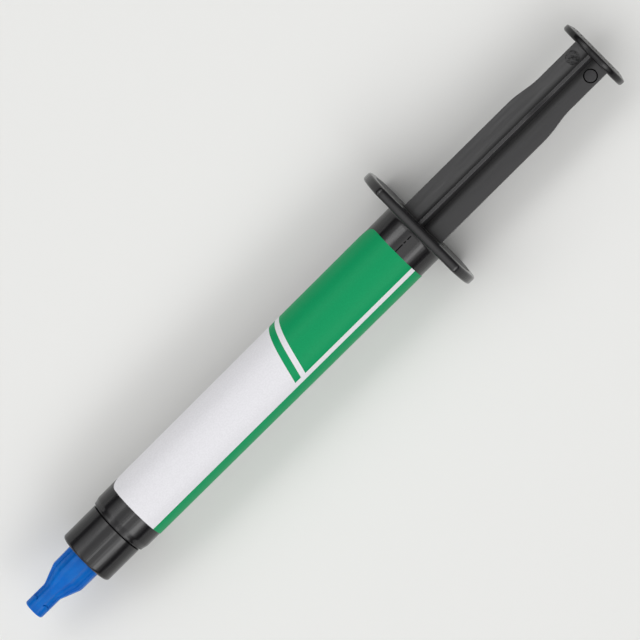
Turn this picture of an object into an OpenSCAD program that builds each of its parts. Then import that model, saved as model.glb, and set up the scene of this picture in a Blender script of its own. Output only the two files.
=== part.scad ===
// Small luer-lock syringe for dispensing adhesive, lying on its side with the plunger part way down.
// Every sub-part is drawn upright, with its nose down, and then laid along X with the thumb pad at +X.
// Heights in the modules count from the front edge of the collar, along the axis of the syringe.

/* [Barrel] */
// Inside diameter of the barrel
bore_d = 8.7; // [8.5:0.05:9.2]
// Wall of the tube just behind its shoulder
tube_wall = 0.85; // [0.6:0.025:1]
// What the mould's draft adds to that wall by the time the tube meets the finger flange
tube_draft = 0.15; // [0:0.005:0.2]
// Length from the back of the collar to the rear face of the finger flange
barrel_len = 64.6; // [58:0.1:90]
// Thickness of the wall between the inside of the collar and the bottom of the bore
front_wall = 1.3; // [1:0.1:2]
// Height of the cone at the bottom of the bore, which the face of the piston matches
bore_cone = 1.2; // [0.8:0.1:1.8]
// How much the shoulder drops from the tube's surface towards the collar
shoulder_drop = 0.245; // [0.1:0.005:0.4]
// Length of the sloping shoulder
shoulder_len = 1.05; // [0.5:0.05:2]

/* [Collar and nozzle] */
// Length of the collar
collar_len = 7; // [6.2:0.1:9]
// Inside diameter of the collar, at the root of its thread
collar_bore_d = 8; // [7.6:0.05:8.4]
// Wall of the collar
collar_wall = 0.725; // [0.6:0.025:0.8]
// Depth of the space inside the collar
collar_depth = 5.8; // [5.2:0.1:5.9]
// Rounding of the collar's front edge
collar_edge_r = 0.5; // [0.2:0.05:0.6]
// Width of the fine groove between the collar and the shoulder
groove_w = 0.3; // [0.1:0.05:0.5]
// Depth of that groove
groove_depth = 0.3; // [0.05:0.05:0.4]
// Diameter of the tapered nozzle at its tip
nozzle_tip_d = 3.96; // [3.8:0.01:4.05]
// Growth in diameter for each unit of length of the nozzle
luer_taper = 0.06; // [0.05:0.005:0.07]
// How far the nozzle stands out of the collar
nozzle_reach = 2.1; // [1:0.1:3]
// Diameter of the hole through the nozzle
nozzle_bore_d = 2; // [1:0.1:2.4]

/* [Finger flange] */
// Width of the flange over both finger wings
flange_span = 22.4; // [18:0.1:30]
// Width of the flange across its two flats
flange_across = 15.4; // [12.3:0.1:18]
// Thickness of the flange
flange_t = 1.55; // [1.2:0.05:2]
// Rounding of the flange's edges
flange_edge_r = 0.4; // [0.2:0.05:0.55]
// Rounding in the corner between the tube and the flange
flange_fillet_r = 0.5; // [0.3:0.05:0.8]
// How much wider the barrel's mouth is than its bore, all round
mouth_flare = 0.35; // [0.2:0.05:0.5]
// Length of the funnel from the mouth down to the bore
mouth_len = 0.8; // [0.5:0.1:1.2]
// Height of the bead that keeps the piston in the barrel
bead_h = 0.15; // [0.1:0.01:0.25]
// Distance of the bead from the barrel's mouth
bead_back = 3.6; // [2.6:0.1:6]
// Length of the bead along the bore
bead_w = 0.9; // [0.6:0.1:1.2]

/* [Label] */
// Distance from the back of the collar to the label
label_start = 3.85; // [2:0.05:20]
// Distance from the label to the finger flange
label_end_gap = 4; // [1:0.05:20]
// Size of the label round the barrel
label_w = 28; // [18:0.5:31]
// Thickness of the label
label_t = 0.06; // [0.04:0.01:0.2]
// Angle from the top of the barrel to the label's edge, towards +Y
label_edge_angle = 85; // [0:1:90]
// Rounding of the label's corners
label_corner_r = 3; // [0.3:0.1:4]

/* [Tip cap] */
// How far the cap stands out of the collar
cap_reach = 11.1; // [9:0.1:14]
// Length of the cap's hub inside the collar
cap_hub_len = 5; // [4:0.1:5.1]
// Diameter of the cap over its ribs at the wide end
cap_base_d = 6; // [5.8:0.05:6.5]
// Diameter of the cap over its ribs at the narrow end
cap_tip_d = 3.35; // [2.8:0.05:3.8]
// Length of the narrow end
cap_tip_len = 4.1; // [3:0.1:5]
// Length of the part that widens
cap_taper_len = 3.2; // [2:0.05:3.4]
// Length of the plain round end ahead of the ribs
cap_end_len = 1.6; // [0.8:0.1:2.5]
// Rounding of the cap's front edge
cap_edge_r = 0.3; // [0.1:0.05:0.5]
// Height of the ribs at the wide end
cap_rib_h_base = 0.42; // [0.1:0.01:0.45]
// Height of the ribs at the narrow end
cap_rib_h_tip = 0.22; // [0.1:0.01:0.4]
// Width of the ribs at the wide end
cap_rib_w_base = 2.25; // [1:0.05:2.6]
// Width of the ribs at the narrow end
cap_rib_w_tip = 1.26; // [0.6:0.02:1.4]
// Angle by which the cap is turned, towards +Y
cap_roll = 4.7; // [-45:0.1:45]
// Radial clearance between the cap's socket and the nozzle
luer_clear = 0.04; // [0.02:0.01:0.06]
// Space between the nozzle's tip and the bottom of the cap's socket
socket_gap = 0.4; // [0.2:0.1:1]

/* [Plunger rod] */
// Travel that is left before the piston reaches the bottom of the bore
travel_left = 27.3; // [5:0.1:33]
// Distance from the barrel's mouth to the thumb pad
rod_extension = 35.45; // [30:0.05:45]
// Radial clearance between the rod's ribs and the bead
rib_clear = 0.225; // [0.1:0.005:0.6]
// How much the ribs draw in at the waist
waist_depth = 0.625; // [0:0.025:1]
// Length of the waist next to the thumb pad
waist_len = 7.6; // [6:0.1:12]
// Length over which the rod narrows to its waist
waist_blend_len = 6.1; // [3:0.1:8]
// Thickness of a rib along its edge
rib_edge_t = 0.55; // [0.4:0.05:0.8]
// Thickness of a rib at the middle of the rod
rib_root_t = 1.1; // [0.9:0.05:1.5]
// Angle by which the rod is turned, towards +Y
rod_roll = 6.5; // [-20:0.1:20]
// Radial clearance between the bead and the discs that guide the rod
guide_clear = 0.15; // [0.05:0.01:0.3]
// Thickness of a guide disc
guide_t = 0.8; // [0.5:0.1:1.2]
// Distance between the two guide discs
guide_pitch = 8; // [5:0.5:12]
// Diameter of the marks that the mould's ejector pins left
ejector_d = 2.3; // [1.5:0.1:2.4]
// Depth of those marks
ejector_depth = 0.1; // [0.05:0.01:0.15]
// Distance from an ejector mark to the thumb pad
ejector_back = 2; // [1.5:0.1:4]
// Distance of an ejector mark from the rod's axis
ejector_offset = 1.9; // [1.7:0.1:2]

/* [Thumb pad] */
// Diameter of the thumb pad
thumb_d = 12.1; // [10:0.1:12.3]
// Thickness of the thumb pad
thumb_t = 1.4; // [1:0.05:2]
// Rounding of the thumb pad's rim
thumb_edge_r = 0.6; // [0.2:0.05:0.65]
// Distance between the gripping ridges on the thumb pad
ridge_pitch = 0.85; // [0.7:0.05:1.5]
// Width of the grooves between the ridges
ridge_groove_w = 0.35; // [0.2:0.05:0.5]
// Depth of the grooves between the ridges
ridge_groove_depth = 0.15; // [0.05:0.05:0.3]

/* [Piston] */
// Length of the piston from its nose to its rear face
piston_len = 7; // [6.4:0.1:10]
// Radial clearance between the piston's sealing lips and the bore
piston_clear = 0.04; // [0.02:0.01:0.08]
// Depth of the groove between the two sealing lips
piston_groove = 0.4; // [0.2:0.05:0.6]
// Length of each sealing lip along the bore
lip_len = 0.9; // [0.5:0.1:1.2]
// Diameter of the rod's neck where the piston snaps on
neck_d = 3.2; // [2.5:0.1:3.6]
// Length of the neck
neck_len = 1.5; // [1:0.1:2]
// Diameter of the barbed head beyond the neck
head_d = 4.8; // [4.2:0.1:5.4]
// Length of the head
head_len = 2.2; // [1.5:0.1:2.6]
// Gap between the head and its pocket in the piston
head_gap = 0.05; // [0.03:0.01:0.1]
// Gap left between the piston and the bottom of the bore when the plunger is pushed home
seat_gap = 0.1; // [0.05:0.05:0.3]

/* [Adhesive] */
// Gap between the adhesive and what surrounds it
fill_gap = 0.05; // [0.03:0.01:0.1]

/* [Hidden] */
$fn = 96;
ARC_STEPS = 6;
BLEND_STEPS = 12;
CUT = 1;
DIE_OVERRUN = 1.03;

bore_r = bore_d / 2;
bead_r = bore_r - bead_h;
barrel_front_r = bore_r + tube_wall;
barrel_rear_r = barrel_front_r + tube_draft;
collar_r = collar_bore_d / 2 + collar_wall;
rod_w = 2 * (bead_r - rib_clear);
waist_w = rod_w - 2 * waist_depth;
nozzle_bore_r = nozzle_bore_d / 2;
barrel_z = collar_len + barrel_len;
flange_z = barrel_z - flange_t;
tube_z = collar_len + shoulder_len;
bore_floor_z = collar_depth + front_wall;
bore_z = bore_floor_z + bore_cone;
nozzle_root_d = nozzle_tip_d + luer_taper * (collar_depth + nozzle_reach);

piston_z = bore_floor_z + seat_gap + travel_left;
piston_end_z = piston_z + piston_len;
piston_r = bore_r - piston_clear;
piston_cone = bore_cone * (piston_r - nozzle_bore_r) / (bore_r - nozzle_bore_r);

pad_z = barrel_z + rod_extension;
pad_end_z = pad_z + thumb_t;

syringe_mid = (pad_end_z - cap_reach) / 2;
axis_height = max(flange_across, thumb_d) / 2;

// Radius of the outside of the tube at height z.
function tube_r(z) = barrel_front_r + tube_draft * (z - tube_z) / (flange_z - tube_z);

// Points along an arc about centre c, from angle a0 to angle a1.
function arc(c, r, a0, a1) =
    [for (i = [0:ARC_STEPS]) let (a = a0 + (a1 - a0) * i / ARC_STEPS) c + r * [cos(a), sin(a)]];

// A smooth step from 0 to 1 as t goes from 0 to 1.
function ease(t) = (1 - cos(180 * t)) / 2;

// Half the thickness of a rod's rib at distance r from the rod's axis.
function rib_half_t(r) = (rib_root_t + (rib_edge_t - rib_root_t) * r / (rod_w / 2)) / 2;

// Turns an upright syringe onto its side: its nose points to -X, and its local -X comes up.
module lay_down() {
    translate([-syringe_mid, 0, axis_height])
        rotate([0, 90, 0])
            children();
}

// Outline of a plate from z0 to z1 and from -x to x, with all four corners rounded.
module rounded_plate(x, z0, z1, r) {
    polygon(concat(
        arc([x - r, z1 - r], r, 0, 90),
        arc([r - x, z1 - r], r, 90, 180),
        arc([r - x, z0 + r], r, 180, 270),
        arc([x - r, z0 + r], r, 270, 360)
    ));
}

// Right half of a disc's section from z0 to z1, with its rim rounded.
module disc_section(radius, z0, z1, r) {
    polygon(concat(
        [[0, z0]],
        arc([radius - r, z0 + r], r, -90, 0),
        arc([radius - r, z1 - r], r, 0, 90),
        [[0, z1]]
    ));
}

// The collar, the shoulder and the tube in one section, with the fillet against the flange.
module barrel_outer_section() {
    polygon(concat(
        [[0, 0]],
        arc([collar_r - collar_edge_r, collar_edge_r], collar_edge_r, -90, 0),
        [
            [collar_r, collar_len - groove_w],
            [collar_r - groove_depth, collar_len - groove_w],
            [collar_r - groove_depth, collar_len],
            [barrel_front_r - shoulder_drop, collar_len],
            [barrel_front_r, tube_z],
            [tube_r(flange_z - flange_fillet_r), flange_z - flange_fillet_r]
        ],
        arc([barrel_rear_r + flange_fillet_r, flange_z - flange_fillet_r], flange_fillet_r, 165, 90),
        [
            [barrel_rear_r + flange_fillet_r, flange_z + flange_t / 2],
            [0, flange_z + flange_t / 2]
        ]
    ));
}

// The hole from the nozzle's tip through to the barrel's mouth, with the bead that stops the piston.
module barrel_inner_section() {
    bead_z = barrel_z - bead_back;
    polygon([
        [0, -nozzle_reach - CUT],
        [nozzle_bore_r, -nozzle_reach - CUT],
        [nozzle_bore_r, bore_floor_z],
        [bore_r, bore_z],
        [bore_r, bead_z - bead_w / 2],
        [bead_r, bead_z - bead_w / 6],
        [bead_r, bead_z + bead_w / 6],
        [bore_r, bead_z + bead_w / 2],
        [bore_r, barrel_z - mouth_len],
        [bore_r + mouth_flare, barrel_z],
        [bore_r + mouth_flare, barrel_z + CUT],
        [0, barrel_z + CUT]
    ]);
}

// The finger flange: a round plate with two flats, and every edge rounded.
module finger_flange() {
    intersection() {
        rotate_extrude()
            disc_section(flange_span / 2, flange_z, barrel_z, flange_edge_r);
        rotate([90, 0, 0])
            linear_extrude(height = flange_span, center = true)
                rounded_plate(flange_across / 2, flange_z, barrel_z, flange_edge_r);
    }
}

// One moulding: tube, collar, tapered nozzle and finger flange.
module barrel() {
    color("dimgray")
        difference() {
            union() {
                difference() {
                    union() {
                        rotate_extrude()
                            barrel_outer_section();
                        finger_flange();
                    }
                    translate([0, 0, -CUT])
                        cylinder(h = collar_depth + CUT, d = collar_bore_d);
                }
                translate([0, 0, -nozzle_reach])
                    cylinder(h = nozzle_reach + collar_depth, d1 = nozzle_tip_d, d2 = nozzle_root_d);
            }
            rotate_extrude()
                barrel_inner_section();
        }
}

// What a corner of the label loses to its rounding, as seen flat on the surface of the barrel.
// The die's arc is a touch wide, so that it crosses the label's edges instead of only grazing them.
module label_corner_waste() {
    difference() {
        translate([-CUT, -CUT])
            square(label_corner_r + CUT);
        translate([label_corner_r, label_corner_r])
            circle(r = label_corner_r * DIE_OVERRUN, $fn = 48);
    }
}

// A printed film wrapped most of the way round the tube, so a strip of it stays bare.
module label() {
    z0 = collar_len + label_start;
    z1 = flange_z - label_end_gap;
    wrap = 180 * label_w / (PI * barrel_front_r);
    edge = 180 - label_edge_angle;
    color("white")
        difference() {
            rotate([0, 0, edge])
                rotate_extrude(angle = wrap)
                    polygon([
                        [tube_r(z0), z0],
                        [tube_r(z0) + label_t, z0],
                        [tube_r(z1) + label_t, z1],
                        [tube_r(z1), z1]
                    ]);
            for (side = [0, 1], end = [0, 1])
                rotate([0, 0, edge + wrap * side])
                    mirror([0, side, 0])
                        translate([0, 0, end ? z1 : z0])
                            mirror([0, 0, end])
                                rotate([90, 0, 90])
                                    linear_extrude(height = 2 * barrel_rear_r)
                                        label_corner_waste();
        }
}

// Right half of the cap's section, where tip_r and base_r are the radii of the two ends behind the plain front.
module cap_section(tip_r, base_r) {
    front = -cap_reach;
    full_r = cap_tip_d / 2;
    polygon(concat(
        [[0, front]],
        arc([full_r - cap_edge_r, front + cap_edge_r], cap_edge_r, -90, 0),
        [
            [full_r, front + cap_end_len],
            [tip_r, front + cap_end_len],
            [tip_r, front + cap_tip_len],
            [base_r, front + cap_tip_len + cap_taper_len],
            [base_r, cap_hub_len],
            [0, cap_hub_len]
        ]
    ));
}

// Outline of a pair of opposite ribs, seen from the side: they widen with the cap.
module cap_rib_outline() {
    front = -cap_reach;
    wide_z = front + cap_tip_len + cap_taper_len;
    polygon([
        [-cap_rib_w_tip / 2, front],
        [cap_rib_w_tip / 2, front],
        [cap_rib_w_tip / 2, front + cap_tip_len],
        [cap_rib_w_base / 2, wide_z],
        [cap_rib_w_base / 2, cap_hub_len],
        [-cap_rib_w_base / 2, cap_hub_len],
        [-cap_rib_w_base / 2, wide_z],
        [-cap_rib_w_tip / 2, front + cap_tip_len]
    ]);
}

// The cap that closes the nozzle: a slim grip with four ribs, and a tapered socket in its hub.
module tip_cap() {
    socket_r0 = nozzle_tip_d / 2 + luer_clear;
    socket_r1 = socket_r0 + luer_taper * (cap_hub_len + nozzle_reach) / 2;
    color("royalblue")
        rotate([0, 0, -cap_roll])
            difference() {
                union() {
                    rotate_extrude()
                        cap_section(cap_tip_d / 2 - cap_rib_h_tip, cap_base_d / 2 - cap_rib_h_base);
                    intersection() {
                        rotate_extrude()
                            cap_section(cap_tip_d / 2, cap_base_d / 2);
                        union()
                            for (turn = [0, 90])
                                rotate([90, 0, turn])
                                    linear_extrude(height = cap_base_d, center = true)
                                        cap_rib_outline();
                    }
                }
                rotate_extrude()
                    polygon([
                        [0, -nozzle_reach - socket_gap],
                        [socket_r0 - luer_taper * socket_gap / 2, -nozzle_reach - socket_gap],
                        [socket_r1, cap_hub_len],
                        [socket_r1, cap_hub_len + CUT],
                        [0, cap_hub_len + CUT]
                    ]);
            }
}

// Side view of the rod's outline: straight, then an eased blend to the waist next to the thumb pad.
module rod_outline() {
    blend_z = pad_z - waist_len - waist_blend_len;
    right = concat(
        [[rod_w / 2, piston_end_z]],
        [for (i = [0:BLEND_STEPS])
            let (t = i / BLEND_STEPS)
            [(rod_w + (waist_w - rod_w) * ease(t)) / 2, blend_z + waist_blend_len * t]],
        [[waist_w / 2, pad_z + thumb_t / 2]]
    );
    left = [for (i = [len(right) - 1:-1:0]) [-right[i][0], right[i][1]]];
    polygon(concat(right, left));
}

// Section across the rod: four ribs that thin towards their edges, as moulding needs.
module rod_cross() {
    for (turn = [0, 90])
        rotate(turn)
            polygon([
                [rod_w / 2, -rib_edge_t / 2],
                [rod_w / 2, rib_edge_t / 2],
                [0, rib_root_t / 2],
                [-rod_w / 2, rib_edge_t / 2],
                [-rod_w / 2, -rib_edge_t / 2],
                [0, -rib_root_t / 2]
            ]);
}

// The ribs of the rod, cut to its outline from both sides.
module rod_ribs() {
    intersection() {
        translate([0, 0, piston_end_z])
            linear_extrude(height = pad_z + thumb_t / 2 - piston_end_z)
                rod_cross();
        rotate([90, 0, 0])
            linear_extrude(height = rod_w, center = true)
                rod_outline();
        rotate([90, 0, 90])
            linear_extrude(height = rod_w, center = true)
                rod_outline();
    }
}

// The barbed head on which the piston snaps, with its neck, grown by a gap where it is a pocket.
module piston_head(gap) {
    neck_z = piston_end_z - neck_len;
    head_z = neck_z - head_len;
    rotate_extrude()
        polygon([
            [0, head_z - gap],
            [head_d / 2 - head_len / 3 + gap, head_z - gap],
            [head_d / 2 + gap, neck_z - head_len / 3],
            [head_d / 2 + gap, neck_z + gap],
            [neck_d / 2 + gap, neck_z + gap],
            [neck_d / 2 + gap, piston_end_z],
            [0, piston_end_z]
        ]);
}

// The thumb pad: a round plate with parallel gripping ridges across its rear face.
module thumb_pad() {
    grooves = floor(thumb_d / 2 / ridge_pitch);
    difference() {
        rotate_extrude()
            disc_section(thumb_d / 2, pad_z, pad_end_z, thumb_edge_r);
        for (i = [-grooves:grooves - 1])
            translate([-thumb_d / 2, (i + 0.5) * ridge_pitch - ridge_groove_w / 2, pad_end_z - ridge_groove_depth])
                cube([thumb_d, ridge_groove_w, ridge_groove_depth + CUT]);
    }
}

// One moulding: barbed head, guide discs, ribs and thumb pad.
module plunger_rod() {
    mark_z = pad_z - ejector_back;
    mark_x = rib_half_t(ejector_offset) - ejector_depth;
    color("dimgray")
        rotate([0, 0, -rod_roll])
            difference() {
                union() {
                    rod_ribs();
                    for (i = [0, 1])
                        translate([0, 0, piston_end_z + guide_pitch * i])
                            cylinder(h = guide_t, r = bead_r - guide_clear);
                    piston_head(0);
                    thumb_pad();
                }
                for (side = [-1, 1])
                    translate([-mark_x, side * ejector_offset, mark_z])
                        rotate([0, -90, 0])
                            cylinder(h = ejector_depth + CUT, d = ejector_d);
            }
}

// The rubber piston: a coned face, two sealing lips with a groove between them, and a pocket for the rod's head.
module piston() {
    lip_z = piston_z + piston_cone;
    color("black")
        difference() {
            rotate_extrude()
                polygon([
                    [0, piston_z],
                    [nozzle_bore_r, piston_z],
                    [piston_r, lip_z],
                    [piston_r, lip_z + lip_len],
                    [piston_r - piston_groove, lip_z + lip_len + piston_groove],
                    [piston_r - piston_groove, piston_end_z - lip_len - piston_groove],
                    [piston_r, piston_end_z - lip_len],
                    [piston_r, piston_end_z - piston_clear],
                    [piston_r - piston_clear, piston_end_z],
                    [0, piston_end_z]
                ]);
            piston_head(head_gap);
        }
}

// The adhesive that is left: it fills the nozzle and the bore up to the piston.
module adhesive() {
    fill_r = bore_r - fill_gap;
    slope = bore_cone / (bore_r - nozzle_bore_r);
    color("seagreen")
        rotate_extrude()
            polygon([
                [0, -nozzle_reach],
                [nozzle_bore_r - fill_gap, -nozzle_reach],
                [nozzle_bore_r - fill_gap, bore_floor_z],
                [fill_r, bore_floor_z + slope * (fill_r - nozzle_bore_r + fill_gap)],
                [fill_r, piston_z + slope * (fill_r - nozzle_bore_r) - fill_gap],
                [nozzle_bore_r, piston_z - fill_gap],
                [0, piston_z - fill_gap]
            ]);
}

lay_down() barrel();
lay_down() label();
lay_down() tip_cap();
lay_down() plunger_rod();
lay_down() piston();
lay_down() adhesive();
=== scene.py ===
import math

import bmesh
import bpy
from mathutils import Matrix, Vector


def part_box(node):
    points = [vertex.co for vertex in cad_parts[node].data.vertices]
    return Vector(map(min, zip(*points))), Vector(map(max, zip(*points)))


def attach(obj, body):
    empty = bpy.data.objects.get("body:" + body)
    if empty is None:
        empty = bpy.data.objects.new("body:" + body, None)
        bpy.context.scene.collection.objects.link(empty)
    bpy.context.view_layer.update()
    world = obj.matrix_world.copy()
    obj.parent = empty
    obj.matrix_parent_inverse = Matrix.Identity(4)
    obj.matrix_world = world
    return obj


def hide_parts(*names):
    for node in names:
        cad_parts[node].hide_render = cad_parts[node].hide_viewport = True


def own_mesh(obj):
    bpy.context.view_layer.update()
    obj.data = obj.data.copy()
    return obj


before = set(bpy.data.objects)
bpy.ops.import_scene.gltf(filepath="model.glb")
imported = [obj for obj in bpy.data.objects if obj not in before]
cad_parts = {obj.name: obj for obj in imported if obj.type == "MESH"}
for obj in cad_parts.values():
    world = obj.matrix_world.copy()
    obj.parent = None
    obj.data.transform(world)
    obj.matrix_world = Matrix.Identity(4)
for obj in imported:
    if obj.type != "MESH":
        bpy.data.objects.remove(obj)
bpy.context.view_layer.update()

# The view: a long lens almost straight above the lying syringe, turned so the thumb pad points up and right.
# The lens stands over the thumb pad's end, so the nose is seen a little from behind.
MM = 0.001
PHOTO_PX = 640
MM_PER_PX = 0.15
SENSOR_W = 36
AXIS_ANGLE = math.radians(44.74)
BARREL_LO, BARREL_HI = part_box("barrel")
AXIS_HEIGHT = (BARREL_LO.z + BARREL_HI.z) / 2
AIM = Vector((1.87 * MM, 0.67 * MM, AXIS_HEIGHT))
LENS_AT = Vector((65.37 * MM, 0.67 * MM, AXIS_HEIGHT + 930 * MM))

camera = bpy.data.cameras.new("camera")
camera.sensor_width = SENSOR_W
camera.lens = SENSOR_W * (AIM - LENS_AT).length / (PHOTO_PX * MM_PER_PX * MM)
camera.clip_start = 0.01
camera.clip_end = 20
view = bpy.data.objects.new("camera", camera)
bpy.context.scene.collection.objects.link(view)
bpy.context.scene.camera = view
back = (LENS_AT - AIM).normalized()
along = Vector((1, 0, 0))
along = (along - along.dot(back) * back).normalized()
right = Matrix.Rotation(-AXIS_ANGLE, 3, back) @ along
up = back.cross(right)
view.matrix_world = Matrix.Translation(LENS_AT) @ Matrix((right, up, back)).transposed().to_4x4()

# The studio: a vault of soft light along the syringe with a brighter strip on either side, over a pale bench.
# It is dark just above the bench and beyond the thumb pad, which gives the black plastic its dark bands
# beside its bright edges. A low pale skyline goes all the way round behind the bench.
VAULT_LEVEL = 5.65
VAULT_STOPS = [
    (-90, 0.04), (-86, 0.01), (-78, 0.02), (-71, 0.06), (-65, 0.14), (-60, 0.28), (-55, 0.6), (-51, 0.84),
    (-44, 0.9), (-38, 0.58), (-33, 0.36), (-27, 0.3), (-20, 0.33), (3, 0.33), (9, 0.24), (20, 0.2),
    (27, 0.23), (42, 0.24), (54, 0.21), (60, 0.15), (68, 0.06), (76, 0.02), (86, 0.01), (90, 0.04),
]
STRIP_STOPS = [(19, 0), (24, 0.15), (29, 0.75), (33, 1), (39, 1), (43, 0.8), (48, 0.4), (54, 0.1), (60, 0)]
STRIP_ALONG = [
    (-1, 0.5), (-0.27, 0.5), (-0.14, 0), (-0.105, 0.03), (-0.075, 1), (-0.045, 1), (-0.02, 0.08), (0.1, 0.8),
    (1, 0.8),
]
VAULT_ALONG = [
    (-1, 0.3), (-0.8, 0.55), (-0.45, 0.65), (-0.15, 0.9), (-0.06, 1), (-0.02, 1), (0.05, 0.45), (0.45, 0.12),
]
SKYLINE = [(0.057, 1), (0.085, 0)]
SKYLINE_LEVEL = 0.85
BENCH_COLOUR = "#E6E6E4"
BENCH_SIZE = 2


def linear(hex_code):
    """Turns an sRGB hex value into the linear colour that a shader takes."""
    channels = [int(hex_code[i:i + 2], 16) / 255 for i in (1, 3, 5)]
    return [c / 12.92 if c <= 0.04045 else ((c + 0.055) / 1.055) ** 2.4 for c in channels] + [1]


def add(tree, kind, settings=None, links=None):
    """Adds a node. Settings name its options in lower case and its sockets by name or number.
    Links feed its sockets."""
    node = tree.nodes.new("ShaderNode" + kind)
    for key, value in (settings or {}).items():
        if isinstance(key, str) and key.islower():
            setattr(node, key, value)
        else:
            node.inputs[key].default_value = value
    for key, source in (links or {}).items():
        tree.links.new(source, node.inputs[key])
    return node


def set_stops(ramp, stops):
    """Gives a colour ramp its stops: a place from 0 to 1 and a colour each."""
    while len(ramp.elements) > 1:
        ramp.elements.remove(ramp.elements[0])
    for i, (place, colour) in enumerate(stops):
        element = ramp.elements[0] if i == 0 else ramp.elements.new(place)
        element.position = place
        element.color = colour


def graded(tree, source, reach, stops):
    """Turns a value between -reach and reach into the levels that the stops give along it."""
    share = add(tree, "MapRange", {"From Min": -reach, "From Max": reach}, {"Value": source}).outputs[0]
    ramp = add(tree, "ValToRGB", links={0: share})
    greys = [((value + reach) / 2 / reach, (level, level, level, 1)) for value, level in stops]
    set_stops(ramp.color_ramp, greys)
    return ramp.outputs[0]


def new_material(name, settings):
    """Makes a material with these values on its shader. Returns it with its node tree and that shader."""
    material = bpy.data.materials.new(name)
    material.use_nodes = True
    shader = material.node_tree.nodes["Principled BSDF"]
    for socket, value in settings.items():
        shader.inputs[socket].default_value = value
    return material, material.node_tree, shader


bpy.context.scene.view_settings.view_transform = "Standard"
world = bpy.data.worlds.new("studio")
bpy.context.scene.world = world
world.use_nodes = True
tree = world.node_tree
direction = add(tree, "SeparateXYZ", links={0: add(tree, "TexCoord").outputs["Generated"]}).outputs
tilt = add(tree, "Math", {"operation": "ARCTAN2"}, {0: direction["Y"], 1: direction["Z"]}).outputs[0]
tilt = add(tree, "Math", {"operation": "DEGREES"}, {0: tilt}).outputs[0]
height = add(tree, "Math", {"operation": "ABSOLUTE"}, {0: direction["Z"]}).outputs[0]
vault = graded(tree, tilt, 90, VAULT_STOPS)
strip = graded(tree, tilt, 90, STRIP_STOPS)
strip_along = graded(tree, direction["X"], 1, STRIP_ALONG)
vault_along = graded(tree, direction["X"], 1, VAULT_ALONG)
skyline = graded(tree, height, 1, SKYLINE)
glow = add(tree, "Math", {"operation": "MULTIPLY_ADD"}, {0: strip, 1: strip_along, 2: vault}).outputs[0]
glow = add(tree, "Math", {"operation": "MULTIPLY"}, {0: glow, 1: vault_along}).outputs[0]
glow = add(tree, "Math", {"operation": "MULTIPLY", 1: VAULT_LEVEL}, {0: glow}).outputs[0]
glow = add(tree, "Mix", {"B": SKYLINE_LEVEL}, {"Factor": skyline, "A": glow}).outputs[0]
tree.links.new(glow, tree.nodes["Background"].inputs["Strength"])
tree.nodes["Background"].inputs["Color"].default_value = (1, 1, 1, 1)

bm = bmesh.new()
bmesh.ops.create_grid(bm, x_segments=1, y_segments=1, size=BENCH_SIZE)
mesh = bpy.data.meshes.new("bench")
bm.to_mesh(mesh)
bench = bpy.data.objects.new("bench", mesh)
bpy.context.scene.collection.objects.link(bench)
laminate = {"Base Color": linear(BENCH_COLOUR), "Roughness": 0.9}
mesh.materials.append(new_material("bench_matt_laminate", laminate)[0])

# Barrel: one moulding in black polypropylene, with the luer-lock collar and the tapered nozzle at its front
# and the finger flange at its rear. The two halves of its mould leave a fine line along its top and bottom.
# Lengths in every section are in millimetres from the collar's front edge, and radii from the syringe's axis.
NOZZLE_REACH = 2.1
NOZZLE_BORE_R = 1.0
NOZZLE_TIP_R = 1.98
NOZZLE_FOOT_R = 2.217
COLLAR_LEN = 7.0
COLLAR_R = 4.725
COLLAR_DEPTH = 5.8
THREAD_ROOT_R = 4.0
GROOVE_W = 0.3
GROOVE_FLOOR_W = GROOVE_W * 0.4
GROOVE_DEPTH = 0.3
SHOULDER_LEN = 0.35
SHOULDER_R = 4.955
SHOULDER_DRAFT = 0.03
TUBE_START = COLLAR_LEN + 1.05
TUBE_FRONT_R = 5.2
TUBE_REAR_R = 5.35
BORE_R = 4.35
BORE_FLOOR = 7.1
BORE_CONE_END = 8.3
BEAD_R = 4.2
BEAD_BACK = 3.6
BEAD_HALF_W = 0.15
BEAD_FOOT_HALF_W = 0.45
MOUTH_FLARE = 0.35
MOUTH_FLARE_LEN = 0.8
BARREL_END = (BARREL_HI.x - BARREL_LO.x) / MM - NOZZLE_REACH
FLANGE_T = 1.55
FLANGE_START = BARREL_END - FLANGE_T
FLANGE_SPAN_R = (BARREL_HI.y - BARREL_LO.y) / MM / 2
FLANGE_HALF_ACROSS = (BARREL_HI.z - BARREL_LO.z) / MM / 2
FLANGE_EDGE_R = 0.4
RIM_BAND_W = 1.3
RIM_DRAFT = 0.05
CORNER_TIGHTNESS = 90
COLLAR_X = BARREL_LO.x + NOZZLE_REACH * MM
BARREL_STEPS = 192
ARC_SEGMENTS = 5
SHARP = math.radians(38)

# How near counts as at a place, when two vertices count as one, the play of a cut and of the axis, and how
# squarely a face must look along an axis to count as facing that way.
CLOSE = 0.01
MERGED = 1e-4
CUT_PLAY = 1e-5
AXIS_PLAY = 1e-6
SQUARE_ON = 0.95


def draw_section(bm, corners):
    """Draws a closed outline of corners (along, radius, rounding) above the axis and rounds its corners."""
    spots = [Vector((x, 0, r)) for x, r, rounding in corners]
    points = [bm.verts.new(spot) for spot in spots]
    bm.faces.new(points)
    for i, (x, r, rounding) in enumerate(corners):
        if rounding:
            onward = spots[(i + 1) % len(spots)] - spots[i]
            turn = (spots[i] - spots[i - 1]).angle(onward)
            bmesh.ops.bevel(bm, geom=[points[i]], offset=rounding * math.tan(turn / 2), affect="VERTICES",
                            segments=ARC_SEGMENTS, profile=0.5, material=-1)


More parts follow.
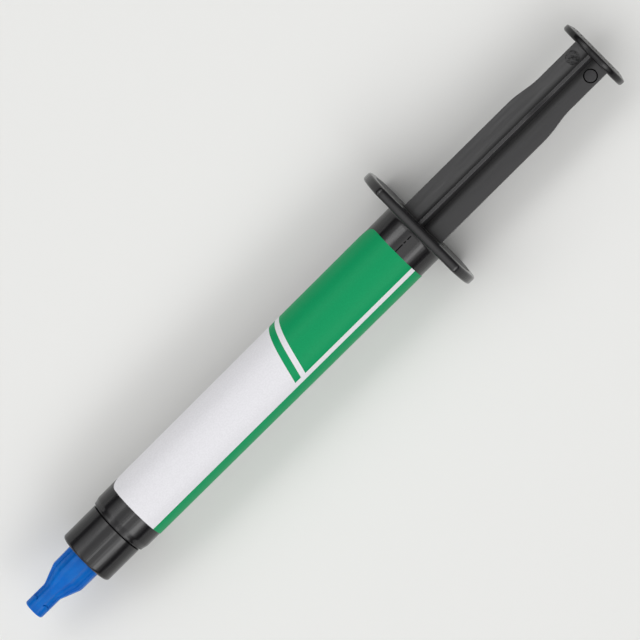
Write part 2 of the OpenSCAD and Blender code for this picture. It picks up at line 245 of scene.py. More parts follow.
def turn_section(bm, corners, steps):
    """Spins a section all the way round the axis. An edge that lies on the axis is left out."""
    draw_section(bm, corners)
    bmesh.ops.delete(bm, geom=bm.faces[:], context="FACES_ONLY")
    on_axis = [e for e in bm.edges if max(v.co.z for v in e.verts) < AXIS_PLAY]
    bmesh.ops.delete(bm, geom=on_axis, context="EDGES")
    bmesh.ops.spin(bm, geom=bm.verts[:] + bm.edges[:], cent=(0, 0, 0), axis=(1, 0, 0), angle=math.tau,
                   steps=steps, use_merge=True)
    bmesh.ops.remove_doubles(bm, verts=bm.verts, dist=MERGED)
    bmesh.ops.recalc_face_normals(bm, faces=bm.faces)


def slice_at(bm, spot, normal, clear_outer=False):
    """Cuts the faces that a plane crosses and returns the cut. It can also clear what lies beyond it."""
    return bmesh.ops.bisect_plane(bm, geom=bm.verts[:] + bm.edges[:] + bm.faces[:], plane_co=spot,
                                  plane_no=normal, clear_outer=clear_outer, dist=CUT_PLAY)["geom_cut"]


def distance_from_axis(vertex):
    return math.hypot(vertex.co.y, vertex.co.z)


def gather(bm, part):
    """Puts a part's mesh into bm."""
    carrier = bpy.data.meshes.new("carrier")
    part.to_mesh(carrier)
    part.free()
    bm.from_mesh(carrier)
    bpy.data.meshes.remove(carrier)


def lay_down(bm, name, *materials):
    """Turns a mesh in millimetres into an object in metres that lies where the syringe lies."""
    bmesh.ops.scale(bm, verts=bm.verts, vec=(MM, MM, MM))
    bmesh.ops.translate(bm, verts=bm.verts, vec=(COLLAR_X, 0, AXIS_HEIGHT))
    for face in bm.faces:
        face.smooth = True
    for edge in bm.edges:
        edge.smooth = len(edge.link_faces) < 2 or edge.calc_face_angle(0) < SHARP
    mesh = bpy.data.meshes.new(name)
    bm.to_mesh(mesh)
    bm.free()
    for material in materials:
        mesh.materials.append(material)
    made = bpy.data.objects.new(name, mesh)
    bpy.context.scene.collection.objects.link(made)
    even = made.modifiers.new("even_normals", "WEIGHTED_NORMAL")
    even.keep_sharp = True
    return made


barrel = bmesh.new()
turn_section(barrel, [
    (-NOZZLE_REACH, NOZZLE_BORE_R, 0.1),
    (-NOZZLE_REACH, NOZZLE_TIP_R, 0.2),
    (COLLAR_DEPTH, NOZZLE_FOOT_R, 0.3),
    (COLLAR_DEPTH, THREAD_ROOT_R, 0.3),
    (0, THREAD_ROOT_R, 0.12),
    (0, COLLAR_R, 0.5),
    (COLLAR_LEN - GROOVE_W, COLLAR_R, 0.04),
    (COLLAR_LEN - GROOVE_FLOOR_W, COLLAR_R - GROOVE_DEPTH, 0),
    (COLLAR_LEN, COLLAR_R - GROOVE_DEPTH, 0),
    (COLLAR_LEN, SHOULDER_R, 0.1),
    (COLLAR_LEN + SHOULDER_LEN, SHOULDER_R + SHOULDER_DRAFT, 0.8),
    (TUBE_START, TUBE_FRONT_R, 1.2),
    (FLANGE_START, TUBE_REAR_R, 0.5),
    (FLANGE_START, FLANGE_SPAN_R, 0),
    (BARREL_END - RIM_DRAFT, FLANGE_SPAN_R, 0),
    (BARREL_END, FLANGE_SPAN_R - RIM_BAND_W, 0),
    (BARREL_END, BORE_R + MOUTH_FLARE, 0.15),
    (BARREL_END - MOUTH_FLARE_LEN, BORE_R, 0.5),
    (BARREL_END - BEAD_BACK + BEAD_FOOT_HALF_W, BORE_R, 0),
    (BARREL_END - BEAD_BACK + BEAD_HALF_W, BEAD_R, 0),
    (BARREL_END - BEAD_BACK - BEAD_HALF_W, BEAD_R, 0),
    (BARREL_END - BEAD_BACK - BEAD_FOOT_HALF_W, BORE_R, 0),
    (BORE_CONE_END, BORE_R, 0.2),
    (BORE_FLOOR, NOZZLE_BORE_R, 0.1),
], BARREL_STEPS)

# The flange is a disc with two flats. What lies past a flat is drawn in to it, and the corners stay a little
# round.
rim = {v for v in barrel.verts if distance_from_axis(v) > FLANGE_SPAN_R - CLOSE}
for vertex in barrel.verts:
    inset = FLANGE_SPAN_R - distance_from_axis(vertex)
    if inset < RIM_BAND_W + CLOSE:
        overshoot = abs(vertex.co.z) / (FLANGE_HALF_ACROSS - inset)
        squeeze = (1 + overshoot ** CORNER_TIGHTNESS) ** (-1 / CORNER_TIGHTNESS)
        vertex.co.y *= squeeze
        vertex.co.z *= squeeze
rim_edges = [e for e in barrel.edges if e.verts[0] in rim and e.verts[1] in rim
             and abs(e.verts[0].co.x - e.verts[1].co.x) < MERGED]
bmesh.ops.bevel(barrel, geom=rim_edges, offset=FLANGE_EDGE_R, affect="EDGES", segments=ARC_SEGMENTS,
                profile=0.5, material=-1, clamp_overlap=False)

# The mould's halves met along the barrel's top and bottom. Behind the label that shows as a fine broken nick.
SEAM_DASHES = ((65.5, 67.6), (67.85, 68.3), (68.6, 69.4))
SEAM_HALF_W = 0.1
SEAM_REACH = 0.2
SEAM_DEPTH = 0.1
SEAM_RUN_OUT = 0.05
for dash_start, dash_end in SEAM_DASHES:
    for x in (dash_start, dash_start + SEAM_RUN_OUT, dash_end - SEAM_RUN_OUT, dash_end):
        slice_at(barrel, (x, 0, 0), (1, 0, 0))
    by_seam = [v for v in barrel.verts if abs(v.co.y) < SEAM_REACH and distance_from_axis(v) > TUBE_FRONT_R
               and dash_start - CLOSE < v.co.x < dash_end + CLOSE]
    for vertex in by_seam:
        if abs(vertex.co.y) > SEAM_HALF_W:
            radius = distance_from_axis(vertex)
            vertex.co.y = math.copysign(SEAM_HALF_W, vertex.co.y)
            vertex.co.z = math.copysign(math.sqrt(radius ** 2 - SEAM_HALF_W ** 2), vertex.co.z)
        elif dash_start + CLOSE < vertex.co.x < dash_end - CLOSE:
            vertex.co.z -= math.copysign(SEAM_DEPTH, vertex.co.z)

# Two threads start opposite each other on the collar's inner wall. Each is a ridge that winds most of a turn.
THREAD_FOOT_R = THREAD_ROOT_R + 0.05
THREAD_CREST_R = 3.5
THREAD_START = 0.5
THREAD_FLANK_W = 0.3
THREAD_CREST_W = 0.3
THREAD_LEAD = 5.0
THREAD_TURNS = 0.8
THREAD_STEPS = 48
crest_start = THREAD_START + THREAD_FLANK_W
crest_end = crest_start + THREAD_CREST_W
for half_turn in (0, math.pi):
    thread = bmesh.new()
    foot = [thread.verts.new(spot) for spot in (
        (THREAD_START, 0, THREAD_FOOT_R), (crest_start, 0, THREAD_CREST_R),
        (crest_end, 0, THREAD_CREST_R), (crest_end + THREAD_FLANK_W, 0, THREAD_FOOT_R))]
    sides = [thread.edges.new((foot[i - 1], foot[i])) for i in range(4)]
    bmesh.ops.spin(thread, geom=foot + sides, cent=(0, 0, 0), axis=(1, 0, 0), angle=math.tau * THREAD_TURNS,
                   dvec=(THREAD_LEAD * THREAD_TURNS / THREAD_STEPS, 0, 0), steps=THREAD_STEPS)
    bmesh.ops.holes_fill(thread, edges=thread.edges, sides=4)
    bmesh.ops.recalc_face_normals(thread, faces=thread.faces)
    bmesh.ops.rotate(thread, verts=thread.verts, cent=(0, 0, 0), matrix=Matrix.Rotation(half_turn, 3, "X"))
    gather(barrel, thread)


def mottle(tree, shader, pattern, dark, light):
    """Lets the base colour drift along a pattern between two stops, each a level and a linear colour."""
    tint = add(tree, "ValToRGB", links={0: pattern})
    set_stops(tint.color_ramp, [dark, light])
    tree.links.new(tint.outputs[0], shader.inputs["Base Color"])


def black_polypropylene(name, roughness, dark, light, gloss):
    """Moulded polypropylene with carbon black: a satin skin that mirrors broad lights and is a little wavy
    along the flow."""
    material, tree, shader = new_material(name, {"IOR": 1.49, "Specular IOR Level": gloss})
    spot = add(tree, "TexCoord").outputs["Object"]
    cloud = add(tree, "TexNoise", {"Scale": 1 / (6 * MM), "Detail": 3}, {"Vector": spot}).outputs[0]
    mottle(tree, shader, cloud, (0.35, linear(dark)), (0.7, linear(light)))
    sheen = add(tree, "MapRange", {"To Min": roughness - 0.04, "To Max": roughness + 0.06}, {"Value": cloud})
    tree.links.new(sheen.outputs[0], shader.inputs["Roughness"])
    flow_scale = (1 / (14 * MM), 1 / (1.6 * MM), 1 / (1.6 * MM))
    stretched = add(tree, "Mapping", {"Scale": flow_scale}, {"Vector": spot})
    flow = add(tree, "TexNoise", {"Scale": 1, "Detail": 2}, {"Vector": stretched.outputs[0]}).outputs[0]
    waves = add(tree, "Bump", {"Strength": 1, "Distance": 0.06 * MM}, {"Height": flow}).outputs[0]
    grain = add(tree, "TexNoise", {"Scale": 1 / (0.3 * MM), "Detail": 2}, {"Vector": spot}).outputs[0]
    skin = add(tree, "Bump", {"Strength": 1, "Distance": 0.004 * MM}, {"Height": grain, "Normal": waves})
    tree.links.new(skin.outputs[0], shader.inputs["Normal"])
    return material


# The barrel is polished but for the flange's rear face, which comes from a matt, spark-eroded part of the
# mould. On the collar the mould's halves left a low, soft ridge that catches the light.
BARREL_BLACKS = ("#121113", "#171618")
BARREL_GLOSS = 0.43
RIDGE_LINE_Y = -0.22
RIDGE_LINE_HALF_W = 0.36
RIDGE_LINE_HEIGHT = 0.11
RIDGE_LINE_TO = COLLAR_X + 20 * MM
barrel_plastic = black_polypropylene("moulded_black_polypropylene", 0.14, *BARREL_BLACKS, BARREL_GLOSS)
tree = barrel_plastic.node_tree
shader = tree.nodes["Principled BSDF"]
skin = shader.inputs["Normal"].links[0].from_socket
spot = add(tree, "TexCoord").outputs["Object"]
axes = add(tree, "SeparateXYZ", links={0: spot}).outputs
off_ridge = add(tree, "Math", {"operation": "ADD", 1: -RIDGE_LINE_Y * MM}, {0: axes["Y"]}).outputs[0]
off_ridge = add(tree, "Math", {"operation": "ABSOLUTE"}, {0: off_ridge}).outputs[0]
ridge = add(tree, "MapRange", {"interpolation_type": "SMOOTHSTEP", "From Max": RIDGE_LINE_HALF_W * MM,
                               "To Min": 1, "To Max": 0}, {"Value": off_ridge}).outputs[0]
ahead_of_label = add(tree, "Math", {"operation": "LESS_THAN", 1: RIDGE_LINE_TO}, {0: axes["X"]}).outputs[0]
ridge = add(tree, "Math", {"operation": "MULTIPLY"}, {0: ridge, 1: ahead_of_label}).outputs[0]
raised = add(tree, "Bump", {"Strength": 1, "Distance": RIDGE_LINE_HEIGHT * MM},
             {"Height": ridge, "Normal": skin}).outputs[0]
tree.links.new(raised, shader.inputs["Normal"])
matt_plastic = black_polypropylene("spark_eroded_black_polypropylene", 0.42, *BARREL_BLACKS, 0.5)
for face in barrel.faces:
    if face.normal.x > SQUARE_ON and face.calc_center_median().x > BARREL_END - CLOSE:
        face.material_index = 1
barrel_piece = lay_down(barrel, "barrel_moulding", barrel_plastic, matt_plastic)
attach(barrel_piece, "barrel")
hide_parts("barrel")

# Label: a printed silky film with an adhesive back, cut with round corners and wrapped most of the way round
# the tube. Its print is plain fields of colour: white at the front, two slanted stripes, a green field and a
# green band below. It is drawn flat, with sizes along the tube and round it from the line along its top.
LABEL_FRONT_GAP = 3.85
LABEL_REAR_GAP = 4.0
LABEL_START = COLLAR_LEN + LABEL_FRONT_GAP
LABEL_END = FLANGE_START - LABEL_REAR_GAP
LABEL_T = 0.06
LABEL_WRAP = 28
LABEL_TOP_ANGLE = math.radians(85)
LABEL_TOP = -TUBE_FRONT_R * LABEL_TOP_ANGLE
LABEL_BOTTOM = LABEL_TOP + LABEL_WRAP
LABEL_CORNER_R = 3.0
LABEL_CORNER_SEGMENTS = 10
WRAP_STEPS = 96
FIELD_BOTTOM = 3.62
BAND_TOP = 4.5
BAND_BOTTOM = 11.5
STRIPE_SLANT = 0.265
STRIPE_LINES = (42.5, 43.7, 44.63)
INK_WHITE = "#E6E5E9"
INK_GREEN = "#00965C"


def tube_radius(x):
    return TUBE_FRONT_R + (TUBE_REAR_R - TUBE_FRONT_R) * (x - TUBE_START) / (FLANGE_START - TUBE_START)


label = bmesh.new()
bmesh.ops.create_grid(label, x_segments=1, y_segments=1, size=0.5)
bmesh.ops.scale(label, verts=label.verts, vec=(LABEL_END - LABEL_START, LABEL_BOTTOM - LABEL_TOP, 1))
label_middle = ((LABEL_START + LABEL_END) / 2, (LABEL_TOP + LABEL_BOTTOM) / 2, 0)
bmesh.ops.translate(label, verts=label.verts, vec=label_middle)
bmesh.ops.bevel(label, geom=label.verts[:], offset=LABEL_CORNER_R, affect="VERTICES",
                segments=LABEL_CORNER_SEGMENTS, profile=0.5, material=-1)
bends = [LABEL_TOP + (LABEL_BOTTOM - LABEL_TOP) * i / WRAP_STEPS for i in range(1, WRAP_STEPS)]
for y in bends + [FIELD_BOTTOM, BAND_TOP, BAND_BOTTOM]:
    slice_at(label, (0, y, 0), (0, 1, 0))
for x in STRIPE_LINES:
    slice_at(label, (x, 0, 0), (1, STRIPE_SLANT, 0))
for face in label.faces:
    middle = face.calc_center_median()
    slanted = middle.x + STRIPE_SLANT * middle.y
    behind_white = STRIPE_LINES[0] < slanted < STRIPE_LINES[1] or slanted > STRIPE_LINES[2]
    green = (middle.y < FIELD_BOTTOM and behind_white) or BAND_TOP < middle.y < BAND_BOTTOM
    face.material_index = 1 if green else 0
for vertex in label.verts:
    angle = vertex.co.y / TUBE_FRONT_R
    radius = tube_radius(vertex.co.x) + LABEL_T
    vertex.co.y = -radius * math.sin(angle)
    vertex.co.z = radius * math.cos(angle)
bmesh.ops.recalc_face_normals(label, faces=label.faces)
bmesh.ops.solidify(label, geom=label.faces[:], thickness=LABEL_T)
bmesh.ops.recalc_face_normals(label, faces=label.faces)


def printed_film(name, ink):
    """Printed polypropylene film under a silky varnish: flat colour, faintly wavy where it is stuck down."""
    material, tree, shader = new_material(name, {"Roughness": 0.45, "Specular IOR Level": 0.15})
    spot = add(tree, "TexCoord").outputs["Object"]
    fleck = add(tree, "TexNoise", {"Scale": 1 / (0.25 * MM), "Detail": 2}, {"Vector": spot}).outputs[0]
    shade = [c * 0.94 for c in linear(ink)[:3]] + [1]
    mottle(tree, shader, fleck, (0.35, shade), (0.65, linear(ink)))
    wave = add(tree, "TexNoise", {"Scale": 1 / (3 * MM), "Detail": 1}, {"Vector": spot}).outputs[0]
    bump = add(tree, "Bump", {"Strength": 1, "Distance": 0.01 * MM}, {"Height": wave}).outputs[0]
    tree.links.new(bump, shader.inputs["Normal"])
    return material


label_piece = lay_down(label, "label_wrap", printed_film("printed_white_film", INK_WHITE),
                       printed_film("printed_green_film", INK_GREEN))
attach(label_piece, "barrel")
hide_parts("label")

# Tip cap: a soft blue polyethylene stopper, pushed onto the nozzle inside the collar. Its slim grip has four
# ribs that widen towards the collar, with hollows between them behind a plain round end.
CAP_FRONT = -(BARREL_LO.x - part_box("tip_cap")[0].x) / MM - NOZZLE_REACH
CAP_TIP_R = 1.675
CAP_TIP_END = CAP_FRONT + 4.1
CAP_TAPER_END = CAP_TIP_END + 3.2
CAP_PLAIN_END = CAP_FRONT + 1.6
CAP_BASE_R = 3.0
CAP_BASE_DRAFT = 0.06
CAP_HUB_END = 5.0
HUB_EDGE_W = 0.1
SOCKET_BOTTOM = -2.5
SOCKET_R = (2.0, 2.23)
SOCKET_MARGIN = 0.12
HOLLOW_DEPTH = (0.22, 0.42)
HOLLOW_SLOPE_LEN = 0.2
HOLLOW_SCOOP = 0.35
RIB_HALF_STEPS = 8
RIB_EDGE_R = 0.06
RIB_CREASE = math.radians(50)
CAP_ROLL = math.radians(4.7)
CAP_STEPS = 128
MID_HOLLOW_STEPS = CAP_STEPS / 8

cap = bmesh.new()
turn_section(cap, [
    (CAP_FRONT, 0, 0),
    (CAP_FRONT, CAP_TIP_R, 0.35),
    (CAP_TIP_END, CAP_TIP_R, 1.2),
    (CAP_TAPER_END, CAP_BASE_R - CAP_BASE_DRAFT, 1.0),
    (CAP_HUB_END, CAP_BASE_R + CAP_BASE_DRAFT, 0.15),
    (CAP_HUB_END, SOCKET_R[1], 0.1),
    (SOCKET_BOTTOM, SOCKET_R[0], 0.2),
    (SOCKET_BOTTOM, 0, 0),
], CAP_STEPS)
for x in (CAP_PLAIN_END, CAP_PLAIN_END + HOLLOW_SLOPE_LEN):
    slice_at(cap, (x, 0, 0), (1, 0, 0))
for vertex in cap.verts:
    radius = distance_from_axis(vertex)
    outside = radius > SOCKET_R[1] + SOCKET_MARGIN or vertex.co.x < SOCKET_BOTTOM - SOCKET_MARGIN
    if outside and vertex.co.x > CAP_PLAIN_END - CLOSE and radius > 0.9 * CAP_TIP_R:
        turned = math.atan2(-vertex.co.y, vertex.co.z) % (math.pi / 2)
        steps = round(min(turned, math.pi / 2 - turned) * CAP_STEPS / math.tau)
        if steps > RIB_HALF_STEPS:
            share = min(1, max(0, (vertex.co.x - CAP_TIP_END) / (CAP_TAPER_END - CAP_TIP_END)))
            depth = HOLLOW_DEPTH[0] + (HOLLOW_DEPTH[1] - HOLLOW_DEPTH[0]) * share
            if vertex.co.x < CAP_PLAIN_END + HOLLOW_SLOPE_LEN + CLOSE:
                across = (steps - RIB_HALF_STEPS) / (MID_HOLLOW_STEPS - RIB_HALF_STEPS)
                depth *= (vertex.co.x - CAP_PLAIN_END) / HOLLOW_SLOPE_LEN
                vertex.co.x += HOLLOW_SCOOP * (1 - (1 - across) ** 2)
            vertex.co.y *= (radius - depth) / radius
            vertex.co.z *= (radius - depth) / radius
creases = [e for e in cap.edges if len(e.link_faces) == 2 and e.calc_face_angle(0) > RIB_CREASE
           and e.is_convex]
rib_edges = [e for e in creases if min(distance_from_axis(v) for v in e.verts) > 0.99 * CAP_TIP_R
             and min(v.co.x for v in e.verts) > CAP_PLAIN_END
             and max(v.co.x for v in e.verts) < CAP_HUB_END - HUB_EDGE_W]
bmesh.ops.bevel(cap, geom=rib_edges, offset=RIB_EDGE_R, affect="EDGES", segments=2, profile=0.5, material=-1)
bmesh.ops.rotate(cap, verts=cap.verts, cent=(0, 0, 0), matrix=Matrix.Rotation(-CAP_ROLL, 3, "X"))


def blue_polyethylene():
    """Moulded low-density polyethylene: a waxy blue with a soft gloss."""
    settings = {"IOR": 1.51, "Specular IOR Level": 0.13, "Roughness": 0.24}
    material, tree, shader = new_material("moulded_blue_polyethylene", settings)
    spot = add(tree, "TexCoord").outputs["Object"]
    cloud = add(tree, "TexNoise", {"Scale": 1 / (2 * MM), "Detail": 3}, {"Vector": spot}).outputs[0]
    mottle(tree, shader, cloud, (0.35, linear("#005AB2")), (0.65, linear("#0066BE")))
    grain = add(tree, "TexNoise", {"Scale": 1 / (0.3 * MM), "Detail": 2}, {"Vector": spot}).outputs[0]
    bump = add(tree, "Bump", {"Strength": 1, "Distance": 0.006 * MM}, {"Height": grain}).outputs[0]
    tree.links.new(bump, shader.inputs["Normal"])
    return material


cap_piece = lay_down(cap, "cap_moulding", blue_polyethylene())
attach(cap_piece, "cap")
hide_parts("tip_cap")

# Plunger rod: one moulding in black polypropylene. Four ribs form a cross that narrows to a waist by the
# thumb pad. Two discs guide it in the bore, a barbed head holds the piston, and round marks show where pins
# pushed it out of its mould.
ROD_R = BEAD_R - 0.225
PISTON_END = (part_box("piston")[1].x - COLLAR_X) / MM
PAD_END = (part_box("plunger_rod")[1].x - COLLAR_X) / MM
PAD_T = 1.4
PAD_START = PAD_END - PAD_T
PAD_R = 6.05
PAD_EDGE_R = 0.45
WAIST_DEPTH = 0.625
WAIST_LEN = 7.6
BLEND_LEN = 6.1
BLEND_START = PAD_START - WAIST_LEN - BLEND_LEN
BLEND_STEPS = 16
RIB_EDGE_T = 0.55
RIB_EDGE_ROUND = 0.12
RIB_ROOT_T = 1.1
ROOT_FILLET = 0.15
RIB_TIP_FROM = 2
ROD_ROLL = math.radians(6.5)
MARK_R = 1.12
MARK_STEPS = ((1.02, 0.08), (0.92, 0.36))
MARK_OFFSET = 1.93
MARK_X = PAD_START - 2.0
MARK_PATCH_HALF = 1.3
MARK_SEGMENTS = 48


def rib_half_thickness(r):
    return (RIB_ROOT_T + (RIB_EDGE_T - RIB_ROOT_T) * r / ROD_R) / 2


root = RIB_ROOT_T / 2 / (1 + (RIB_ROOT_T - RIB_EDGE_T) / 2 / ROD_R)
rod = bmesh.new()
outline = []
for arm in (0, 3, 2, 1):
    quarter = Matrix.Rotation(arm * math.pi / 2, 3, "X")
    outline += [(quarter @ Vector((PISTON_END, -RIB_EDGE_T / 2, ROD_R)), RIB_EDGE_ROUND),
                (quarter @ Vector((PISTON_END, RIB_EDGE_T / 2, ROD_R)), RIB_EDGE_ROUND),
                (quarter @ Vector((PISTON_END, root, root)), ROOT_FILLET)]
points = [rod.verts.new(spot) for spot, rounding in outline]
rod.faces.new(points)
for point, (spot, rounding) in zip(points, outline):
    bmesh.ops.bevel(rod, geom=[point], offset=rounding, affect="VERTICES", segments=4, profile=0.5,
                    material=-1)
pushed = bmesh.ops.extrude_face_region(rod, geom=rod.faces[:], use_keep_orig=True)["geom"]
bmesh.ops.translate(rod, verts=[g for g in pushed if isinstance(g, bmesh.types.BMVert)],
                    vec=(PAD_START + PAD_T / 2 - PISTON_END, 0, 0))
blend_cuts = [BLEND_START + BLEND_LEN * i / BLEND_STEPS for i in range(BLEND_STEPS + 1)]
for x in blend_cuts + [MARK_X - MARK_PATCH_HALF, MARK_X + MARK_PATCH_HALF]:
    slice_at(rod, (x, 0, 0), (1, 0, 0))
for vertex in rod.verts:
    share = min(1, max(0, (vertex.co.x - BLEND_START) / BLEND_LEN))
    drawn_in = WAIST_DEPTH * (1 - math.cos(math.pi * share)) / 2
    if abs(vertex.co.z) > RIB_TIP_FROM:
        vertex.co.z -= math.copysign(drawn_in, vertex.co.z)
    if abs(vertex.co.y) > RIB_TIP_FROM:
        vertex.co.y -= math.copysign(drawn_in, vertex.co.y)
bmesh.ops.recalc_face_normals(rod, faces=rod.faces)

# The pins left a mark on the upward flank of each side rib: a ring-shaped groove round a middle that lies
# just below the flank.
for side in (-1, 1):
    centre = Vector((MARK_X, side * MARK_OFFSET, rib_half_thickness(MARK_OFFSET)))
    flanks = [f for f in rod.faces if f.normal.z > SQUARE_ON]
    flank = min(flanks, key=lambda f: (f.calc_center_bounds() - centre).length)
    centre -= (centre - flank.verts[0].co).dot(flank.normal) * flank.normal
    place = Matrix.Translation(centre) @ flank.normal.to_track_quat("Z", "X").to_matrix().to_4x4()
    square = flank.edges[:]
    ring = bmesh.ops.create_circle(rod, segments=MARK_SEGMENTS, radius=MARK_R, matrix=place)["verts"]
    circle = list(dict.fromkeys(e for v in ring for e in v.link_edges))
    bmesh.ops.delete(rod, geom=[flank], context="FACES_ONLY")
    bmesh.ops.bridge_loops(rod, edges=square + circle)
    last_r = MARK_R
    for step_r, step_z in MARK_STEPS:
        sunk = bmesh.ops.extrude_edge_only(rod, edges=circle)["geom"]
        lowered = [g for g in sunk if isinstance(g, bmesh.types.BMVert)]
        for vertex in lowered:
            vertex.co = centre + (vertex.co - centre) * step_r / last_r
            vertex.co.z = step_z
        circle = [g for g in sunk if isinstance(g, bmesh.types.BMEdge) and g.verts[0] in lowered
                  and g.verts[1] in lowered]
        last_r = step_r
    for face in bmesh.ops.edgeloop_fill(rod, edges=circle)["faces"]:
        face.material_index = 1
bmesh.ops.recalc_face_normals(rod, faces=rod.faces)

# At the front the rod ends in its two guide discs and the barbed head that the piston snaps over.
DISC_R = BEAD_R - 0.15
DISC_T = 0.8
DISC_EDGE_R = 0.15
DISC_SPACING = 8
DISC_STEPS = 96
NECK_R = 1.6
NECK_SUNK = 0.4
BARB_R = 2.4
BARB_REAR = PISTON_END - 1.5
BARB_FRONT = PISTON_END - 2.23
HEAD_FRONT = PISTON_END - 3.7
HEAD_FRONT_R = 1.67
HEAD_STEPS = 64
for x in (PISTON_END, PISTON_END + DISC_SPACING):
    disc = bmesh.new()
    turn_section(disc, [
        (x, 0, 0),
        (x, DISC_R, DISC_EDGE_R),
        (x + DISC_T, DISC_R, DISC_EDGE_R),
        (x + DISC_T, 0, 0),
    ], DISC_STEPS)
    gather(rod, disc)
head = bmesh.new()
turn_section(head, [
    (HEAD_FRONT, 0, 0),
    (HEAD_FRONT, HEAD_FRONT_R, 0.2),
    (BARB_FRONT, BARB_R, 0.2),
    (BARB_REAR, BARB_R, 0.15),
    (BARB_REAR, NECK_R, 0.1),
    (PISTON_END + NECK_SUNK, NECK_R, 0),
    (PISTON_END + NECK_SUNK, 0, 0),
], HEAD_STEPS)
gather(rod, head)

# The thumb pad is a round plate with a rounded front edge and a bevelled rear edge. Straight ridges on its
# rear face keep the thumb from slipping.
PAD_BEVEL_START = PAD_END - 0.42
PAD_BEVEL_END = PAD_END - 0.1
PAD_BEVEL_W = 1.0
PAD_FACE_INSET = 1.5
PAD_STEPS = 160
RIDGES_EACH_SIDE = 7
RIDGE_PITCH = 0.85
RIDGE_W = 0.5
RIDGE_H = 0.15
RIDGE_EDGE_R = 0.06
RIDGE_CREASE = 1
plate = bmesh.new()
turn_section(plate, [
    (PAD_START, 0, 0),
    (PAD_START, PAD_R, PAD_EDGE_R),
    (PAD_BEVEL_START, PAD_R, 0.22),
    (PAD_BEVEL_END, PAD_R - PAD_BEVEL_W, 1.5),
    (PAD_END, PAD_R - PAD_FACE_INSET, 0),
    (PAD_END, 0, 0),
], PAD_STEPS)


def cut_away(bm, spot, normal):
    """Cuts off what lies beyond a plane and closes the cut."""
    cut = [g for g in slice_at(bm, spot, normal, clear_outer=True) if isinstance(g, bmesh.types.BMEdge)]
    cut.sort(key=lambda e: tuple(e.verts[0].co + e.verts[1].co))
    bmesh.ops.edgeloop_fill(bm, edges=cut)


for i in range(-RIDGES_EACH_SIDE, RIDGES_EACH_SIDE + 1):
    bar = plate.copy()
    cut_away(bar, (PAD_END - RIDGE_H, 0, 0), (-1, 0, 0))
    cut_away(bar, (0, i * RIDGE_PITCH + RIDGE_W / 2, 0), (0, 1, 0))
    if i * RIDGE_PITCH - RIDGE_W / 2 > -PAD_R:
        cut_away(bar, (0, i * RIDGE_PITCH - RIDGE_W / 2, 0), (0, -1, 0))
    bmesh.ops.recalc_face_normals(bar, faces=bar.faces)
    crest = [e for e in bar.edges if min(v.co.x for v in e.verts) > PAD_END - CLOSE
             and len(e.link_faces) == 2 and e.calc_face_angle(0) > RIDGE_CREASE]
    bmesh.ops.bevel(bar, geom=crest, offset=RIDGE_EDGE_R, affect="EDGES", segments=2, profile=0.5,
                    material=-1)
    for vertex in bar.verts:
        vertex.co.x = min(vertex.co.x, PAD_END)
    gather(rod, bar)
cut_away(plate, (PAD_END - RIDGE_H, 0, 0), (1, 0, 0))
bmesh.ops.recalc_face_normals(plate, faces=plate.faces)
gather(rod, plate)
for face in rod.faces:
    if min(vertex.co.x for vertex in face.verts) > PAD_START - CLOSE:
        face.material_index = 2
bmesh.ops.rotate(rod, verts=rod.verts, cent=(0, 0, 0), matrix=Matrix.Rotation(-ROD_ROLL, 3, "X"))

rod_plastic = black_polypropylene("moulded_black_polypropylene_rod", 0.3, "#161517", "#1B1A1C", 0.66)
pin_marked = black_polypropylene("pin_marked_polypropylene", 0.36, "#151417", "#262528", 0.64)
pad_plastic = black_polypropylene("moulded_black_polypropylene_pad", 0.2, "#0C0B0D", "#111012", 0.33)

# The deep corners between the ribs get a duller skin, as the mould is hard to polish there, and painted
# shade: near the axis their base colour darkens to almost black, standing in for the shade that falls between
# the ribs.
ROOT_DULL_AND_SHADE_R = 0.6
ROOT_CLEAR_R = 1.6
ROOT_PAINTED_SHADE = "#080808"
ROOT_ROUGHNESS = 0.85
tree = rod_plastic.node_tree
shader = tree.nodes["Principled BSDF"]
tint = shader.inputs["Base Color"].links[0].from_socket
sheen = shader.inputs["Roughness"].links[0].from_socket
spot = add(tree, "TexCoord").outputs["Object"]
centred = add(tree, "Mapping", {"Location": (0, 0, -AXIS_HEIGHT), "Scale": (0, 1, 1)}, {"Vector": spot})
off_axis = add(tree, "VectorMath", {"operation": "LENGTH"}, {0: centred.outputs[0]}).outputs["Value"]
clear = add(tree, "MapRange", {"interpolation_type": "SMOOTHSTEP", "From Min": ROOT_DULL_AND_SHADE_R * MM,
                               "From Max": ROOT_CLEAR_R * MM}, {"Value": off_axis}).outputs[0]
# Painted shade: the base colour is mixed towards near black close to the axis, in the corners between the
# ribs.
skin = add(tree, "Mix", {"data_type": "RGBA", 6: linear(ROOT_PAINTED_SHADE)}, {"Factor": clear, 7: tint}).outputs[2]
tree.links.new(skin, shader.inputs["Base Color"])
matt = add(tree, "Mix", {"A": ROOT_ROUGHNESS}, {"Factor": clear, "B": sheen}).outputs[0]
tree.links.new(matt, shader.inputs["Roughness"])
rod_piece = lay_down(rod, "plunger_moulding", rod_plastic, pin_marked, pad_plastic)
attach(rod_piece, "plunger")
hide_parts("plunger_rod")

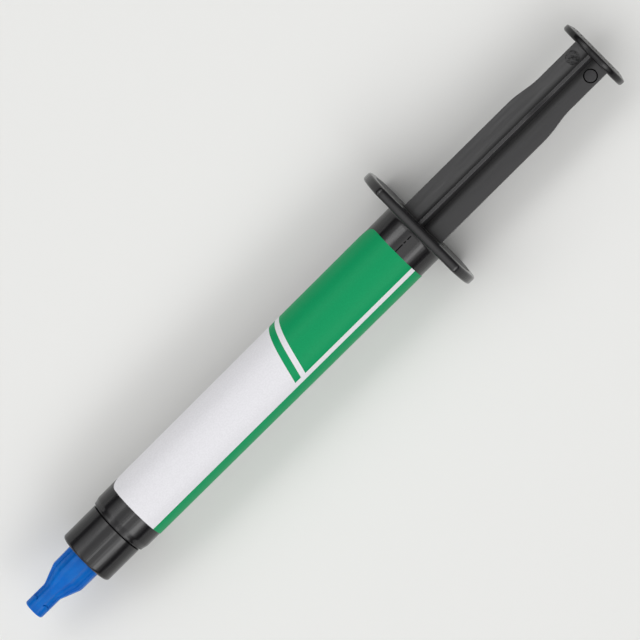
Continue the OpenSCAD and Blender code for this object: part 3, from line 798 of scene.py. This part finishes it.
# Piston: a black rubber moulding that snaps onto the rod's head. Its coned face matches the bottom of the
# bore, and its two lips seal against the barrel.
PISTON_START = (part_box("piston")[0].x - COLLAR_X) / MM
PISTON_R = BORE_R - 0.04
PISTON_NOSE_R = 1.0
FRONT_LIP = PISTON_START + 1.19
LIP_T = 0.9
LIP_FOOT_T = 1.3
LIP_HEIGHT = 0.4
POCKET_ROOM = 0.05
PISTON_STEPS = 96
piston = bmesh.new()
turn_section(piston, [
    (PISTON_START, 0, 0),
    (PISTON_START, PISTON_NOSE_R, 0.5),
    (FRONT_LIP, PISTON_R, 0.1),
    (FRONT_LIP + LIP_T, PISTON_R, 0.15),
    (FRONT_LIP + LIP_FOOT_T, PISTON_R - LIP_HEIGHT, 0.3),
    (PISTON_END - LIP_FOOT_T, PISTON_R - LIP_HEIGHT, 0.3),
    (PISTON_END - LIP_T, PISTON_R, 0.15),
    (PISTON_END, PISTON_R, 0.1),
    (PISTON_END, NECK_R + POCKET_ROOM, 0),
    (BARB_REAR + POCKET_ROOM, NECK_R + POCKET_ROOM, 0),
    (BARB_REAR + POCKET_ROOM, BARB_R + POCKET_ROOM, 0),
    (BARB_FRONT, BARB_R + POCKET_ROOM, 0),
    (HEAD_FRONT - POCKET_ROOM, HEAD_FRONT_R + POCKET_ROOM, 0),
    (HEAD_FRONT - POCKET_ROOM, 0, 0),
], PISTON_STEPS)


def black_rubber():
    """Moulded rubber with carbon black: a dull, even black under a faint bloom."""
    material, tree, shader = new_material("moulded_black_rubber", {"Roughness": 0.55})
    spot = add(tree, "TexCoord").outputs["Object"]
    bloom = add(tree, "TexNoise", {"Scale": 1 / (0.5 * MM), "Detail": 3}, {"Vector": spot}).outputs[0]
    mottle(tree, shader, bloom, (0.35, linear("#161616")), (0.7, linear("#222222")))
    return material


piston_piece = lay_down(piston, "piston_seal", black_rubber())
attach(piston_piece, "plunger")
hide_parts("piston")

# Adhesive: a thick paste that fills the bore up to the piston, and the nozzle's hole up to its tip.
# What lies in the bore shortens as the plunger goes in; what lies in the nozzle stays where it is.
PASTE_ROOM = 0.05
FILL_R = BORE_R - PASTE_ROOM
FILL_CONE_END = BORE_FLOOR + 1.25
FILL_REAR = PISTON_START - PASTE_ROOM
FILL_SKIRT_END = PISTON_START + 1.1
FILL_DISH_R = 0.9
FILL_STEPS = 96
NOZZLE_PASTE_R = NOZZLE_BORE_R - PASTE_ROOM
NOZZLE_PASTE_STEPS = 48
fill = bmesh.new()
turn_section(fill, [
    (BORE_FLOOR, 0, 0),
    (FILL_CONE_END, FILL_R, 0.2),
    (FILL_SKIRT_END, FILL_R, 0.1),
    (FILL_REAR, FILL_DISH_R, 0),
    (FILL_REAR, 0, 0),
], FILL_STEPS)
nozzle_paste = bmesh.new()
turn_section(nozzle_paste, [
    (-NOZZLE_REACH, 0, 0),
    (-NOZZLE_REACH, NOZZLE_PASTE_R, 0.1),
    (BORE_FLOOR, NOZZLE_PASTE_R, 0),
    (BORE_FLOOR, 0, 0),
], NOZZLE_PASTE_STEPS)


def green_paste():
    """Mixed adhesive paste: a wet green with slow swirls."""
    material, tree, shader = new_material("green_adhesive_paste", {"Roughness": 0.2})
    spot = add(tree, "TexCoord").outputs["Object"]
    swirl = add(tree, "TexNoise", {"Scale": 1 / (1.5 * MM), "Detail": 2, "Distortion": 1.5}, {"Vector": spot})
    mottle(tree, shader, swirl.outputs[0], (0.35, linear("#1E7A50")), (0.7, linear("#2A9464")))
    return material


paste = green_paste()
fill_piece = lay_down(fill, "adhesive_in_bore", paste)
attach(fill_piece, "barrel")
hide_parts("adhesive")
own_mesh(fill_piece)
nozzle_piece = lay_down(nozzle_paste, "adhesive_in_nozzle", paste)
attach(nozzle_piece, "barrel")
